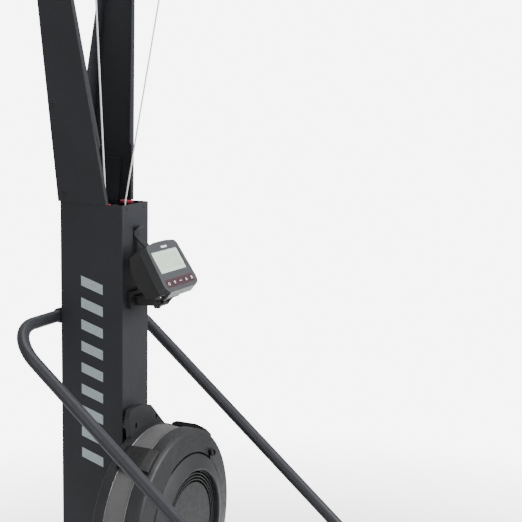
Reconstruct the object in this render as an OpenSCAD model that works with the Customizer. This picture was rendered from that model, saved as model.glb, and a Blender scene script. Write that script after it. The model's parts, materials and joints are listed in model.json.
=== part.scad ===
// Standing ski-type rowing machine: a slim column with a fan in front of it, two splayed
// arms that carry the pulling cords, a bent brace tube and a floor frame with a foot board.
// Millimetres. +Z is up and -Y is the front, where the user stands. +X is to the right of a
// user who faces the machine, and left and right in the names are that user's. The origin is
// the centre of the footprint, on the floor.

/* [Column] */
// Height of the column's top edge above the floor
col_top = 1360; // [1340:5:1380]
// Column width, side to side
col_w = 130; // [126:1:132]
// Column depth, front to back
col_d = 190; // [186:1:194]
// Thickness of the column's sheet
col_wall = 2.5; // [2:0.5:3]

/* [Arms] */
// How far the arms lean outwards, in degrees
arm_tilt = 9.26; // [9:0.02:9.4]
// Length of each arm along its lean
arm_len = 808; // [800:1:812]
// How much each arm's front edge runs back for each unit of length
arm_taper = 0.09; // [0.08:0.01:0.1]

/* [Fan] */
// Height of the fan's axis above the floor
fan_z = 514; // [505:1:520]
// Radius of the fan's round back shell
fan_r = 257.4; // [256.8:0.2:257.6]
// Number of vanes on the flywheel
vane_count = 20; // [12:1:24]

/* [Brace tube] */
// Outside diameter of the bent brace tube
brace_dia = 32; // [30:1:32]
// Width of the bent tube between the centres of its legs
brace_w = 550; // [548:1:552]
// Slope of the brace legs, in degrees
brace_slope = 40; // [39.5:0.1:40.5]

/* [Base] */
// Size of the square floor tubes
rail_size = 40; // [38:1:40]
// Height of the rubber feet
foot_h = 22; // [20:1:24]
// Width of the foot board
deck_w = 480; // [440:5:484]

/* [Monitor] */
// How far the monitor's face leans back from upright, in degrees
mon_tilt = 32.3; // [31:0.1:33]

/* [Hidden] */
$fn = 64;

// Colours
c_frame = "#2b2d2f";
c_trim = "#1d1e20";
c_steel = "#9a9da0";
c_red = "#b3273a";
c_cord = "#eeeeea";

// Floor frame, with y measured from the column's front face
wheel_r = 38;
wheel_y = 222;
rail_front = -980;
rail_rear = 240;
front_tube_d = 50;
length_front = rail_front - front_tube_d;
length_rear = wheel_y + wheel_r;
col_y = -(length_front + length_rear) / 2;
rail_x = 275;
rail_z0 = foot_h;
rail_z1 = foot_h + rail_size;
rail_in = rail_x - rail_size / 2;
rail_wall = 2;
base_w = 600;
cross_y = [-360, 10, 130];
cross_d = 50;
plate_t = 8;
deck_t = 12;
deck_y0 = -1026;
deck_y1 = -305;
axle_r = 5;
run_gap = 0.05;
wheel_w = 22;
wheel_x0 = 228;
wheel_z = 42;
cap_t = 4;
mat_t = 3;
mat_margin = 12;
groove_pitch = 20;
rear_foot_y = 130;
m8_r = 4;
corner_steps = 6;

// Column foot and its bolts
foot_w = 210;
foot_y0 = -8;
foot_y1 = 198;
col_z0 = rail_z1 + plate_t;
foot_bolts = [for (x = [-90, 90], y = [35, 155]) [x, y]];
gusset = 34;
col_corner = 3.2;
screw_pitch = 337;
screw_r = 2;
screw_y = 12;

// Brace, in a frame at the middle of its rear run
brace_y = 206.6;
brace_z = 1052.5;
brace_r = brace_dia / 2;
brace_wall = 2.5;
brace_bend = 110;
brace_leg = (brace_z - rail_z1 - plate_t) / sin(brace_slope);
brace_foot_y = brace_y - brace_leg * cos(brace_slope);
clamp_x = 38;
clamp_w = 24;
clamp_t = 4;
clamp_bolt = 31;
brace_foot_len = 116;
brace_foot_bolts = [-48, 48];

// Arms, in a frame that starts at the column's top edge and leans with the arm
arm_x = col_w / 2 + 3.5;
arm_t = 3;
arm_front = 47.6;
arm_rear = 193;
arm_gap = 0.5;
lip_w = 21;
lip_top = 730;
web_inner = -19.2;
web_lean = 0.267;
bracket_t = 4;
screw_m6 = 3;
head_bolts = [[138, 770], [172, 770], [172, 795]];
arm_screw_at = [[172, 20], [182, 252]];

// Cords, guide rollers and top pulleys, with z measured from the column's top edge
cord_r = 2.2;
cord_gap = 0.3;
roller_r = 6;
roller_x = 56.2;
roller_z = -5;
roller_y0 = 42.5;
roller_y1 = 78.5;
roller_pin_r = 2.5;
guide_y = 60.9;
pulley_x = 201.1;
pulley_y = -23.7;
pulley_z = 762;
pulley_cord_r = 27;
pulley_r = 31;
pulley_w = 14;
spool_y = [41, 67];
spool_r = 32;
spool_w = 22;
spool_flange_r = 44;
cord_drop_z = 735;
cord_sides = 8;
pulley_u = (pulley_x - arm_x) * cos(arm_tilt) - pulley_z * sin(arm_tilt);
pulley_w_pos = (pulley_x - arm_x) * sin(arm_tilt) + pulley_z * cos(arm_tilt);
head_in = -arm_t;
head_out = pulley_u + pulley_w / 2 + 2;
head_t = 3;
groove_r = pulley_cord_r - cord_r - cord_gap - 0.2;
core_r = 11;
grip_top = -46;
grip_end = -166;

// Fan, in a frame on its axis with z towards the front, measured from the column's face
shaft_r = 10;
bearing_r = 17.5;
back_z = 20.3;
screen_z0 = 50.8;
screen_z1 = 110.2;
cover_r = 256;
ear_z = 33.7;
slot_x = 53.1;
slot_y = 270.5;
recess_r = 149.5;
disc_r = 116.5;
slot_r = 193.4;
slot_half = 2.2;
slot_start = -27;
knob_r = 211;
lever_at = 38;
clip_at = [34, 146, 214, 326];
clip_span = 14.5;
spring_z = [-92, -104];
block_z0 = -128;
block_z1 = -108;
bearing_w = 12;
bearing_z = [16, block_z0 + 6];
shaft_front = 76;
shaft_back = -134;
disc_z = 58;
vane_z1 = 104;
vane_r0 = 90;
vane_r1 = 222;
screen_t = 2;
ring_rs = [147.5, 139.5, 131.5, 123.5];
damper_z0 = 142;
damper_z1 = 146;
knob_z = 159.8;

// Monitor, in a frame at the middle of its window with z out of its face
mon_y = -100.5;
mon_z = -139.2;
mon_depth = 24;
mon_wall = 3;
button_n = 5;
button_pitch = 29.5;
button_y = -60;
window = [67, 30];
button_size = [22, 13];
mon_crown = 5;
chin_half = 66;
chin_drop = 8;
pivot_y = -86;
pivot_z = -76;
pivot_r = 4;
pivot_pos = [mon_y + pivot_y * sin(mon_tilt) - pivot_z * cos(mon_tilt),
    mon_z + pivot_y * cos(mon_tilt) + pivot_z * sin(mon_tilt)];

// ---------- Frames ----------
module column_frame() { translate([0, col_y, col_top]) children(); }
module floor_frame() { translate([0, col_y, 0]) children(); }
module fan_frame() { translate([0, col_y, fan_z]) rotate([90, 0, 0]) children(); }
module monitor_frame() {
    column_frame() translate([0, mon_y, mon_z]) rotate([90 - mon_tilt, 0, 0]) children();
}
module side(s) {
    if (s < 0) mirror([1, 0, 0]) children();
    else children();
}
module both_sides() {
    side(1) children();
    side(-1) children();
}
// Leans with the right-hand arm: x out of its web, y back, z up along it
module arm_frame() {
    column_frame() translate([arm_x, 0, 0]) rotate([0, arm_tilt, 0]) children();
}

// ---------- Shared shapes ----------
// A box between two corners
module block(a, b) { translate(a) cube(b - a); }
// A cylinder along X between x0 and x1, centred on [y, z]
module rod_x(x0, x1, p, r) {
    translate([x0, p[0], p[1]]) rotate([0, 90, 0]) cylinder(h = x1 - x0, r = r);
}
// A cylinder along Y between y0 and y1, centred on [x, z]
module rod_y(y0, y1, p, r) {
    translate([p[0], y1, p[1]]) rotate([90, 0, 0]) cylinder(h = y1 - y0, r = r);
}
// A [y, z] outline carried along X from x0 to x1
module slab_x(x0, x1) {
    translate([x0, 0, 0]) rotate([90, 0, 90]) linear_extrude(x1 - x0) children();
}
// An [x, z] outline carried along Y from y0 to y1
module slab_y(y0, y1) {
    translate([0, y1, 0]) rotate([90, 0, 0]) linear_extrude(y1 - y0) children();
}
// A rectangle with round corners, between two corners
module round_rect(a, b, r) {
    translate([a[0] + r, a[1]]) square([b[0] - a[0] - 2 * r, b[1] - a[1]]);
    translate([a[0], a[1] + r]) square([b[0] - a[0], b[1] - a[1] - 2 * r]);
    for (x = [a[0] + r, b[0] - r], y = [a[1] + r, b[1] - r]) translate([x, y]) circle(r);
}
// An upright slot with round ends, centred on the origin
module slot(length, width) {
    square([width, length - width], center = true);
    for (s = [-1, 1]) translate([0, s * (length - width) / 2]) circle(width / 2);
}
// A flat bar of thickness t between two points, with round ends
module bar(p, q, t) {
    d = q - p;
    translate(p) rotate(atan2(d[1], d[0])) translate([0, -t / 2]) square([norm(d), t]);
    for (c = [p, q]) translate(c) circle(t / 2);
}
// Corner points [x, y, radius] turned into an outline with round corners
function unit(v) = v / norm(v);
function corner(a, b, c, r) =
    let (u = unit([a[0] - b[0], a[1] - b[1]]), v = unit([c[0] - b[0], c[1] - b[1]]),
        half = acos(u * v) / 2, m = unit(u + v), o = [b[0], b[1]] + m * r / sin(half),
        p = [b[0], b[1]] + u * r / tan(half) - o, turn = sign(p[1] * m[0] - p[0] * m[1]),
        sweep = 180 - 2 * half)
    [for (i = [0 : corner_steps]) let (t = turn * sweep * i / corner_steps)
        o + [p[0] * cos(t) - p[1] * sin(t), p[0] * sin(t) + p[1] * cos(t)]];
function rounded(pts) =
    let (n = len(pts))
    [for (i = [0 : n - 1])
        each (pts[i][2] == 0 ? [[pts[i][0], pts[i][1]]]
            : corner(pts[(i + n - 1) % n], pts[i], pts[(i + 1) % n], pts[i][2]))];
// A round tube swept along points, each ring square to the path
function tangent(path, i, last) =
    i == len(path) - 1 ? last : unit(path[min(i + 1, len(path) - 1)] - path[max(i - 1, 0)]);
module sweep(path, r, sides, across, last) {
    n = len(path);
    rings = [for (i = [0 : n - 1]) let (t = tangent(path, i, last),
        u = unit(cross(t, across)), v = cross(t, u))
        for (k = [0 : sides - 1]) path[i] + r * (cos(360 * k / sides) * u + sin(360 * k / sides) * v)];
    walls = [for (i = [0 : n - 2], k = [0 : sides - 1])
        [i * sides + k, (i + 1) * sides + k, (i + 1) * sides + (k + 1) % sides, i * sides + (k + 1) % sides]];
    ends = [[for (k = [0 : sides - 1]) k], [for (k = [sides - 1 : -1 : 0]) (n - 1) * sides + k]];
    polyhedron(rings, concat(ends, walls), convexity = 6);
}
// Hexagon-head bolt on top of a plate, head up
module hex_bolt(r, length) {
    cylinder(h = r * 1.3, r = r * 1.9, $fn = 6);
    translate([0, 0, -length]) cylinder(h = length, r = r);
}
// Low button-head screw, head towards +Z
module button_screw(r, length) {
    rotate_extrude() polygon([[0, -length], [r, -length], [r, 0], [r * 2, 0], [r * 1.7, r * 0.7], [0, r]]);
}

// ---------- Floor frame ----------
module rail() {
    color(c_frame) floor_frame() difference() {
        block([rail_in, rail_front, rail_z0], [rail_in + rail_size, rail_rear, rail_z1]);
        block([rail_in + rail_wall, rail_front - 1, rail_z0 + rail_wall],
            [rail_in + rail_size - rail_wall, rail_rear + 1, rail_z1 - rail_wall]);
        rod_x(rail_in - 1, rail_in + rail_size + 1, [wheel_y, wheel_z], axle_r + 0.2);
    }
}
module rail_left() { side(-1) rail(); }
module rail_right() { side(1) rail(); }

// One hollow tube that lies across the floor frame
module cross_tube(half, y0, depth) {
    difference() {
        block([-half, y0, rail_z0], [half, y0 + depth, rail_z1]);
        block([-half - 1, y0 + rail_wall, rail_z0 + rail_wall],
            [half + 1, y0 + depth - rail_wall, rail_z1 - rail_wall]);
    }
}
module cross_tubes() {
    color(c_frame) floor_frame() {
        cross_tube(base_w / 2 - cap_t, length_front, front_tube_d);
        for (y = cross_y) cross_tube(rail_in, y, cross_d);
    }
}

module tube_end_caps() {
    color(c_trim) floor_frame() {
        both_sides() {
            block([base_w / 2 - cap_t, length_front, rail_z0], [base_w / 2, rail_front, rail_z1]);
            block([rail_in, rail_rear, rail_z0], [rail_in + rail_size, rail_rear + cap_t, rail_z1]);
        }
    }
}

module foot_board() {
    color("#3a3a3a") floor_frame() translate([0, 0, rail_z1]) linear_extrude(deck_t)
        round_rect([-deck_w / 2, deck_y0], [deck_w / 2, deck_y1], 18);
}

module board_mat() {
    color(c_trim) floor_frame() translate([0, 0, rail_z1 + deck_t]) difference() {
        linear_extrude(mat_t) round_rect([mat_margin - deck_w / 2, deck_y0 + mat_margin],
            [deck_w / 2 - mat_margin, deck_y1 - mat_margin], 12);
        for (y = [deck_y0 + 40 : groove_pitch : deck_y1 - 35])
            block([40 - deck_w / 2, y, mat_t - 1.2], [deck_w / 2 - 40, y + 3, mat_t + 1]);
    }
}

module rubber_feet() {
    color(c_trim) floor_frame() both_sides() {
        for (y = [length_front + front_tube_d / 2, rear_foot_y])
            translate([rail_x - 4, y, 0]) cylinder(h = foot_h, r1 = 19, r2 = 16);
    }
}

// Wheels at the rear, for tipping the machine back and rolling it
module floor_wheel() {
    color(c_trim) floor_frame() translate([wheel_x0, wheel_y, wheel_z]) rotate([0, 90, 0]) rotate_extrude()
        polygon(rounded([[axle_r + run_gap, 0, 0], [12, 0, 0], [14, 4, 0], [28, 4, 0], [31, 0, 0],
            [wheel_r, 0, 5], [wheel_r, wheel_w, 5], [31, wheel_w, 0], [28, wheel_w - 4, 0],
            [14, wheel_w - 4, 0], [12, wheel_w, 0], [axle_r + run_gap, wheel_w, 0]]));
}
module wheel_left() { side(-1) floor_wheel(); }
module wheel_right() { side(1) floor_wheel(); }

// Bolts that the wheels and the top pulleys turn on
module axle_bolts() {
    color(c_steel) both_sides() {
        floor_frame() {
            rod_x(wheel_x0 - 6.5, base_w / 2, [wheel_y, wheel_z], axle_r);
            rod_x(wheel_x0 - 6.5, wheel_x0 - 0.4, [wheel_y, wheel_z], 9);
            rod_x(wheel_x0 + wheel_w + 0.4, rail_in, [wheel_y, wheel_z], 8);
            rod_x(rail_in + rail_size, base_w / 2, [wheel_y, wheel_z], 9);
        }
        arm_frame() translate([0, pulley_y, pulley_w_pos]) {
            rod_x(head_in - head_t - 4, head_out + head_t + 4, [0, 0], axle_r);
            rod_x(head_out + head_t, head_out + head_t + 4, [0, 0], 9);
            rod_x(head_in - head_t - 4, head_in - head_t, [0, 0], 9);
            rod_x(head_in, pulley_u - pulley_w / 2 - 0.4, [0, 0], 8);
            rod_x(pulley_u + pulley_w / 2 + 0.4, head_out, [0, 0], 8);
        }
    }
}

// ---------- Brace ----------
module brace_frame() {
    floor_frame() translate([0, brace_y, brace_z]) rotate([brace_slope, 0, 0]) children();
}
module tube_ring() {
    difference() {
        circle(brace_r);
        circle(brace_r - brace_wall);
    }
}
module brace_tube() {
    straight = brace_w / 2 - brace_bend;
    color(c_frame) difference() {
        brace_frame() {
            translate([-straight, 0, 0]) rotate([0, 90, 0]) linear_extrude(2 * straight) tube_ring();
            both_sides() {
                translate([straight, -brace_bend, 0]) rotate_extrude(angle = 90)
                    translate([brace_bend, 0]) tube_ring();
                translate([brace_w / 2, -brace_bend, 0]) rotate([90, 0, 0])
                    linear_extrude(brace_leg + brace_dia - brace_bend) tube_ring();
            }
        }
        floor_frame() block([-base_w, brace_foot_y - 200, rail_z0 - 50],
            [base_w, brace_foot_y + 200, rail_z1 + plate_t]);
    }
}

module brace_feet() {
    color(c_frame) floor_frame() translate([0, brace_foot_y, rail_z1]) both_sides()
        linear_extrude(plate_t) difference() {
            round_rect([base_w / 2 - 50, -brace_foot_len / 2], [base_w / 2, brace_foot_len / 2], 8);
            for (y = brace_foot_bolts) translate([rail_x, y]) circle(m8_r + 0.5);
        }
}

// Bent straps that hold the brace against the back of the column
module brace_clamps() {
    color(c_frame) floor_frame() translate([0, 0, brace_z]) both_sides() difference() {
        slab_x(clamp_x - clamp_w / 2, clamp_x + clamp_w / 2) difference() {
            union() {
                intersection() {
                    translate([brace_y, 0]) circle(brace_r + clamp_t);
                    translate([col_d, -brace_dia]) square(2 * brace_dia);
                }
                translate([col_d, -brace_r - clamp_t])
                    square([brace_y - col_d, 2 * (brace_r + clamp_t)]);
                translate([col_d, -42]) square([clamp_t, 84]);
            }
            translate([brace_y, 0]) circle(brace_r + run_gap);
            translate([col_d - 1, -brace_r - run_gap])
                square([brace_y - col_d + 1, 2 * (brace_r + run_gap)]);
        }
        for (z = [-clamp_bolt, clamp_bolt])
            rod_y(col_d - 1, col_d + clamp_t + 1, [clamp_x, z], m8_r + 0.2);
    }
}

module frame_bolts() {
    color(c_steel) floor_frame() {
        for (p = foot_bolts) translate([p[0], p[1], rail_z1 + plate_t]) hex_bolt(m8_r, plate_t);
        both_sides() {
            for (y = brace_foot_bolts) translate([rail_x, brace_foot_y + y, rail_z1 + plate_t])
                hex_bolt(m8_r, plate_t);
            for (z = [-clamp_bolt, clamp_bolt]) translate([clamp_x, col_d + clamp_t, brace_z + z])
                rotate([-90, 0, 0]) hex_bolt(m8_r, clamp_t);
        }
    }
}

// ---------- Column ----------
module column_shell() {
    color(c_frame) floor_frame() difference() {
        translate([0, 0, col_z0]) linear_extrude(col_top - col_z0) difference() {
            round_rect([-col_w / 2, 0], [col_w / 2, col_d], col_corner);
            round_rect([col_wall - col_w / 2, col_wall], [col_w / 2 - col_wall, col_d - col_wall], 0.7);
        }
        rod_y(-1, col_wall + 1, [0, fan_z], shaft_r + 6);
        translate([0, 0, col_top]) screw_places()
            translate([0, 0, -col_wall - 1]) cylinder(h = col_wall + 2, r = screw_r + 0.2);
    }
}

module column_foot() {
    color(c_frame) floor_frame() {
        difference() {
            translate([0, 0, rail_z1]) linear_extrude(plate_t)
                round_rect([-foot_w / 2, foot_y0], [foot_w / 2, foot_y1], 10);
            for (p = foot_bolts) translate([p[0], p[1], rail_z1 - 1])
                cylinder(h = plate_t + 2, r = m8_r + 0.5);
        }
        for (y = [70, 114]) both_sides() slab_y(y, y + 6)
            polygon([[col_w / 2, col_z0], [col_w / 2 + gusset, col_z0], [col_w / 2, col_z0 + 2 * gusset]]);
    }
}

// Places of the small screws on the column, each facing out of its wall
module screw_places() {
    both_sides() for (i = [0 : 2]) translate([col_w / 2, screw_y, -36 - i * screw_pitch])
        rotate([0, 90, 0]) children();
    for (x = [-42, 42]) translate([x, 0, -11]) rotate([90, 0, 0]) children();
}
module column_screws() {
    color(c_steel) column_frame() screw_places() button_screw(screw_r, col_wall);
}

// ---------- Arms ----------
// A folded sheet: a wide side web, a narrow front lip and a rear web that runs to the middle
module arm() {
    top_z = arm_len * cos(arm_tilt);
    lean = tan(arm_tilt);
    color(c_frame) {
        arm_frame() difference() {
            slab_x(-arm_t, 0) polygon([[arm_front, arm_gap], [arm_rear, arm_gap],
                [arm_rear, arm_len], [arm_front + arm_taper * arm_len, arm_len]]);
            for (p = concat(arm_screw_at, head_bolts)) rod_x(-arm_t - 1, 1, p, screw_m6 + 0.2);
        }
        arm_frame() intersection() {
            slab_x(-lip_w, -arm_t) polygon([[arm_front, arm_gap], [arm_front + arm_t, arm_gap],
                [arm_front + arm_t + arm_taper * lip_top, lip_top],
                [arm_front + arm_taper * lip_top, lip_top]]);
            slab_y(0, arm_rear) polygon([[0, 0], [-12, 0], [-12, 140], [-lip_w, 150],
                [-11, lip_top], [0, lip_top]]);
        }
        column_frame() slab_y(arm_rear - arm_t, arm_rear) polygon([[arm_gap, arm_gap],
            [arm_x - arm_t / cos(arm_tilt), arm_gap],
            [arm_x - arm_t / cos(arm_tilt) + lean * (top_z - 8), top_z - 8],
            [web_inner + web_lean * (top_z - 8), top_z - 8],
            [arm_gap, (arm_gap - web_inner) / web_lean]]);
    }
}
module arm_left() { side(-1) arm(); }
module arm_right() { side(1) arm(); }

// Bent plates inside the column that carry the arms, and the pins of the guide rollers
module arm_brackets() {
    x0 = col_w / 2 - col_wall;
    x1 = arm_x - arm_t / cos(arm_tilt);
    up = 110;
    color(c_trim) column_frame() {
        both_sides() slab_y(92, 182) polygon([[x0, -120], [x0, 0], [x1 + 4 * tan(arm_tilt), 4],
            [x1 + up * tan(arm_tilt), up], [x1 + up * tan(arm_tilt) - bracket_t, up],
            [x1 - bracket_t, 6], [x0 - bracket_t, 0], [x0 - bracket_t, -120]]);
        block([-x0, 84, -44], [x0, 88, -12]);
        both_sides() {
            block([x0 - 11, 82, -44], [x0, 92, -12]);
            rod_y(roller_y0 - 0.4, 84, [roller_x, roller_z], roller_pin_r);
            rod_y(roller_y0 - 2.4, roller_y0 - 0.4, [roller_x, roller_z], 4);
            block([roller_x - 5, roller_y1 + 1, -14], [x0, 84, 0]);
        }
    }
}

module arm_screws() {
    color(c_trim) both_sides() arm_frame()
        for (p = concat(arm_screw_at, head_bolts)) translate([0, p[0], p[1]])
            rotate([0, 90, 0]) button_screw(screw_m6, arm_t);
}

// Yoke at the top of an arm, reaching forward over the user
module pulley_head() {
    nose = pulley_y - 39;
    roof = pulley_w_pos + 34;
    color(c_frame) arm_frame() difference() {
        union() {
            slab_x(head_in - head_t, head_in) polygon(rounded([[nose, pulley_w_pos - 12, 12],
                [60, pulley_w_pos - 16, 20], [186, pulley_w_pos - 30, 6], [186, roof + head_t, 4],
                [nose, roof + head_t, 16]]));
            slab_x(head_out, head_out + head_t) polygon(rounded([[nose, pulley_w_pos - 12, 12],
                [70, pulley_w_pos - 12, 20], [96, roof + head_t, 4], [nose, roof + head_t, 16]]));
            block([head_in, nose + 16, roof], [head_out, 92, roof + head_t]);
        }
        rod_x(head_in - 20, head_out + 20, [pulley_y, pulley_w_pos], axle_r + run_gap);
        for (p = head_bolts) rod_x(head_in - 5, head_in + 1, p, screw_m6 + 0.2);
    }
}
module pulley_head_left() { side(-1) pulley_head(); }
module pulley_head_right() { side(1) pulley_head(); }

module top_pulley() {
    h = pulley_w / 2;
    color(c_trim) arm_frame() translate([pulley_u, pulley_y, pulley_w_pos]) rotate([0, 90, 0])
        rotate_extrude() polygon([[axle_r + run_gap, -h], [12, -h], [14, 2 - h], [20, 2 - h], [22, -h],
            [pulley_r, 0.5 - h], [groove_r, -3.2], [groove_r, 3.2], [pulley_r, h - 0.5], [22, h],
            [20, h - 2], [14, h - 2], [12, h], [axle_r + run_gap, h]]);
}
module top_pulley_left() { side(-1) top_pulley(); }
module top_pulley_right() { side(1) top_pulley(); }

module guide_roller() {
    color(c_red) column_frame() difference() {
        rod_y(roller_y0, roller_y1, [roller_x, roller_z], roller_r);
        rod_y(roller_y0 - 1, roller_y1 + 1, [roller_x, roller_z], roller_pin_r + run_gap);
    }
}
module guide_roller_left() { side(-1) guide_roller(); }
module guide_roller_right() { side(1) guide_roller(); }

// ---------- Cords ----------
// From the spool, up the column, past the guide roller, and over the top pulley to its front
function drive_route(s) =
    let (e1 = [0, -1, 0], e2 = [s * sin(arm_tilt), 0, cos(arm_tilt)],
        spool_z = fan_z - col_top, lean = 4, wrap = 15,
        guide_r = roller_r + cord_r + cord_gap,
        low = [spool_r + cord_r + cord_gap, s < 0 ? spool_y[0] : spool_y[1], spool_z])
    concat([low],
        [for (a = [0, 5, 11]) [s * (roller_x - guide_r * cos(a)), guide_y - 0.075 * guide_r * sin(a),
            roller_z + guide_r * sin(a)]],
        [for (i = [0 : wrap]) let (a = lean + (180 - lean) * i / wrap)
            [s * pulley_x, pulley_y, pulley_z] + pulley_cord_r * (sin(a) * e2 - cos(a) * e1)]);
module drive_cord(s) {
    color(c_cord) column_frame() sweep(drive_route(s), cord_r, cord_sides,
        [cos(arm_tilt), 0, -s * sin(arm_tilt)], [0, 0, -1]);
}
module drive_cord_left() { drive_cord(-1); }
module drive_cord_right() { drive_cord(1); }

// The short length between the pulley and the handle, which grows as the handle comes down
module hanging_cord() {
    color(c_cord) column_frame() translate([pulley_x, pulley_y - pulley_cord_r, cord_drop_z])
        cylinder(h = pulley_z - cord_drop_z, r = cord_r);
}
module hanging_cord_left() { side(-1) hanging_cord(); }
module hanging_cord_right() { side(1) hanging_cord(); }

// ---------- Handles ----------
module handle_frame() {
    column_frame() translate([pulley_x, pulley_y - pulley_cord_r, cord_drop_z]) children();
}
module handle() {
    color(c_trim) handle_frame() rotate_extrude() polygon(concat(
        rounded([[0, 0, 0], [7, 0, 2], [14, -8, 3], [14, -17, 4], [6, -24, 2], [5, -33, 2],
            [15, -39, 3], [15, grip_top, 0]]),
        [[core_r, grip_top], [core_r, grip_end]],
        rounded([[19, grip_end, 2], [19, grip_end - 10, 4], [0, grip_end - 10, 0]])));
}
module handle_left() { side(-1) handle(); }
module handle_right() { side(1) handle(); }

module grip() {
    waist = (grip_top + grip_end) / 2;
    color(c_trim) handle_frame() rotate_extrude() polygon(rounded([[core_r, grip_top, 0],
        [17, grip_top, 2], [15, waist + 34, 20], [17, waist, 30], [15, waist - 34, 20],
        [18, grip_end, 2], [core_r, grip_end, 0]]));
}
module grip_left() { side(-1) grip(); }
module grip_right() { side(1) grip(); }

// ---------- Drive inside the column ----------
// A drum on the fan's shaft, seen from the column's front; d is its middle behind the face
module cord_spool(d) {
    color(c_steel) fan_frame() translate([0, 0, -d - spool_w / 2]) rotate_extrude()
        polygon([[shaft_r + run_gap, 0], [spool_flange_r, 0], [spool_flange_r, 3], [spool_r, 5],
            [spool_r, spool_w - 5], [spool_flange_r, spool_w - 3], [spool_flange_r, spool_w],
            [shaft_r + run_gap, spool_w]]);
}
module cord_spool_left() { cord_spool(spool_y[0]); }
module cord_spool_right() { cord_spool(spool_y[1]); }

module return_springs() {
    color(c_steel) fan_frame() for (z = spring_z) translate([0, 0, z]) difference() {
        cylinder(h = 10, r = 42);
        translate([0, 0, -1]) cylinder(h = 12, r = shaft_r + 2);
    }
}

module bearing_block() {
    x = col_w / 2 - col_wall;
    color(c_steel) fan_frame() difference() {
        block([-x, -32, block_z0], [x, 32, block_z1]);
        translate([0, 0, block_z0 - 1]) cylinder(h = 22, r = shaft_r + 3);
        translate([0, 0, block_z0 + 6]) cylinder(h = 22, r = bearing_r);
    }
}

module bearings() {
    color(c_steel) fan_frame() for (z = bearing_z) translate([0, 0, z]) difference() {
        cylinder(h = bearing_w, r = bearing_r);
        translate([0, 0, -1]) cylinder(h = bearing_w + 2, r = shaft_r + run_gap);
    }
}

module flywheel_shaft() {
    color(c_steel) fan_frame() translate([0, 0, shaft_back])
        cylinder(h = shaft_front - shaft_back, r = shaft_r);
}

module flywheel() {
    color(c_steel) fan_frame() difference() {
        union() {
            translate([0, 0, disc_z]) cylinder(h = 5, r = vane_r1);
            translate([0, 0, disc_z - 14]) cylinder(h = 32, r = 28);
            for (i = [0 : vane_count - 1]) rotate(i * 360 / vane_count)
                block([vane_r0, -1.5, disc_z + 2], [vane_r1 - 2, 1.5, vane_z1]);
        }
        translate([0, 0, disc_z - 20]) cylinder(h = 60, r = shaft_r);
    }
}

// ---------- Fan housing ----------
module fan_ear_outline() {
    polygon(rounded([[-76, 225, 0], [-90, 300, 16], [-80, 320, 16], [-20, 320, 30],
        [24, 308, 24], [100, 236, 0], [90, 210, 0]]));
}
module fan_back_shell() {
    color(c_frame) fan_frame() difference() {
        union() {
            rotate_extrude() polygon(rounded([[14, 0, 0], [46, 0, 0], [46, back_z, 0],
                [254, back_z, 2], [fan_r, back_z + 4, 2], [fan_r, screen_z0, 0],
                [fan_r - 2.6, screen_z0, 0], [fan_r - 2.6, back_z + 4, 1], [252, back_z + 3, 0],
                [34, back_z + 3, 0], [34, 30, 0], [bearing_r, 30, 0], [bearing_r, 14, 0], [14, 14, 0]]));
            difference() {
                translate([0, 0, back_z]) linear_extrude(ear_z - back_z) fan_ear_outline();
                cylinder(h = 40, r = fan_r - 3);
            }
            for (x = [-slot_x, slot_x]) translate([x, slot_y, 0]) cylinder(h = back_z + 1, r = 13);
        }
        for (x = [-slot_x, slot_x]) translate([x, slot_y, -1]) linear_extrude(40) slot(16, 8);
    }
}

module air_screen() {
    color("#a9abad") fan_frame() rotate_extrude() polygon([[254.6 - screen_t, screen_z0 + 0.2],
        [254.6, screen_z0 + 0.2], [250.6, screen_z1 - 0.2], [250.6 - screen_t, screen_z1 - 0.2]]);
}

module screen_clips() {
    color(c_trim) fan_frame() for (a = clip_at) rotate(90 - a - clip_span / 2)
        rotate_extrude(angle = clip_span) polygon(rounded([[fan_r + 0.05, 45, 0], [264, 45, 2],
            [270, 58, 6], [270, 116, 6], [265, 138, 2], [fan_r + 0.05, 139, 0]]));
}

module fan_front_cover() {
    color(c_frame) fan_frame() difference() {
        rotate_extrude() polygon(rounded([[cover_r, screen_z1 + 0.2, 0], [cover_r, 151, 13],
            [196, 159.9, 0], [195, 158.6, 0], [192.5, 158.6, 0], [190.5, 162.4, 2], [152, 177.5, 4],
            [recess_r, 172, 0], [recess_r, 156, 0], [152.5, 156, 0], [153.5, 173.5, 1],
            [190, 158.4, 1], [196, 156.4, 1], [cover_r - 3, 148, 10], [cover_r - 3, screen_z1 + 0.2, 0]]));
        translate([0, 0, 150]) rotate(90 - lever_at - 3) rotate_extrude(angle = lever_at + 3 - slot_start)
            translate([slot_r - slot_half, 0]) square([2 * slot_half, 20]);
    }
}

module fan_grille() {
    color(c_trim) fan_frame() {
        translate([0, 0, 159]) cylinder(h = 6, r = disc_r);
        difference() {
            translate([0, 0, 159]) union() for (r = ring_rs) difference() {
                cylinder(h = 7, r = r + 1.6);
                translate([0, 0, -1]) cylinder(h = 9, r = r - 1.6);
            }
            translate([0, 0, 150]) cylinder(h = 20, r = disc_r + 1);
        }
        for (i = [0 : 11]) rotate(i * 30) block([disc_r - 20, -1.5, 157], [recess_r - 0.2, 1.5, 160]);
    }
}

module damper_ring() {
    color(c_trim) fan_frame() {
        translate([0, 0, damper_z0]) linear_extrude(damper_z1 - damper_z0) difference() {
            circle(232);
            circle(186);
        }
        rotate(90 - lever_at) {
            block([slot_r - 0.9, -5, damper_z1 - 1], [slot_r + 0.9, 5, knob_z + 4]);
            block([slot_r - 0.9, -5, knob_z + 2.4], [knob_r - 6, 5, knob_z + 5]);
            translate([knob_r, 0, knob_z]) difference() {
                linear_extrude(9) slot(30, 18);
                translate([0, 0, 5]) linear_extrude(5) slot(24, 12);
            }
        }
    }
}

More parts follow.
